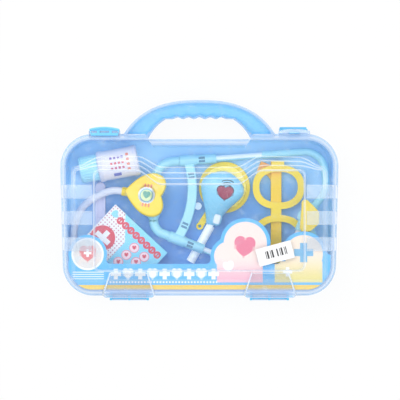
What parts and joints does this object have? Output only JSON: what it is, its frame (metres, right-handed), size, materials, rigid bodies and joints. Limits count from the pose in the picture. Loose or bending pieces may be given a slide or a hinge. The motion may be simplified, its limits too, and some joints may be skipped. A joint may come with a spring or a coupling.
{
  "type": "toy doctor case",
  "caption": "Toy doctor case: blue tray, clear hinged lid, carrying handle, two snap latches, and packed play instruments.",
  "frame": {"origin": "centre of the flat back face, midway between the sides and midway between the flanges at the handle side and the hinge side", "axes": "+X to the right across the case, +Y towards the carrying handle, +Z from the back face to the clear lid"},
  "size_m": [0.306, 0.2204, 0.06],
  "materials": {
    "shell_blue": "moulded, glossy, slightly see-through",
    "clear_plastic": "clear moulded, glossy",
    "latch_blue": "moulded, satin",
    "card_print": "printed card",
    "jar_white": "moulded, satin",
    "toy_blue": "moulded, glossy",
    "toy_white": "moulded, glossy",
    "toy_yellow": "moulded, glossy",
    "carton_print": "printed thin card",
    "pale_violet": "moulded, satin",
    "soft_tube": "soft extruded tube",
    "mirror_foil": "bright foil"
  },
  "bodies": {
    "case": {"back_shell": "shell_blue", "insert_card": "card_print", "jar_body": "jar_white", "jar_cap": "toy_blue", "medicine_carton": "carton_print", "thermometer": "pale_violet", "heart_front": "toy_yellow", "heart_back": "toy_yellow", "chest_tube": "soft_tube", "headset_bridge": "toy_blue", "ear_elbow_upper": "toy_blue", "ear_elbow_lower": "toy_blue", "arm_rod_upper": "toy_white", "arm_rod_lower": "toy_white", "arm_channel_upper": "toy_blue", "arm_channel_lower": "toy_blue", "arm_bend_upper": "toy_blue", "arm_bend_lower": "toy_blue", "tube_junction": "toy_blue", "pulse_front": "toy_blue", "pulse_back": "toy_blue", "pulse_handle": "toy_white", "mirror_frame": "toy_yellow", "mirror_face": "mirror_foil", "round_cap": "toy_white", "glasses_frame": "toy_yellow", "temple_upper": "toy_yellow", "temple_lower": "toy_yellow", "reflex_hammer": "toy_yellow"},
    "lid": {"front_shell": "clear_plastic"},
    "left_latch": {"latch_left": "latch_blue"},
    "right_latch": {"latch_right": "latch_blue"},
    "button": {"pulse_button": "toy_white"}
  },
  "joints": [
    {"name": "lid_hinge", "type": "hinge", "parent": "case", "child": "lid", "pos_m": [0, -0.0915, 0.03], "axis": [1, 0, 0], "range_deg": [0, 180]},
    {"name": "left_latch_hinge", "type": "hinge", "parent": "case", "child": "left_latch", "pos_m": [-0.104, 0.0919, 0.024], "axis": [-1, 0, 0], "range_deg": [0, 180]},
    {"name": "right_latch_hinge", "type": "hinge", "parent": "case", "child": "right_latch", "pos_m": [0.104, 0.0919, 0.024], "axis": [-1, 0, 0], "range_deg": [-180, 0]},
    {"name": "button_press", "type": "slide", "parent": "case", "child": "button", "axis": [0, 0, -1], "range_m": [0, 0.0012], "stiffness_N_per_m": 400, "springref_m": -0.001}
  ]
}
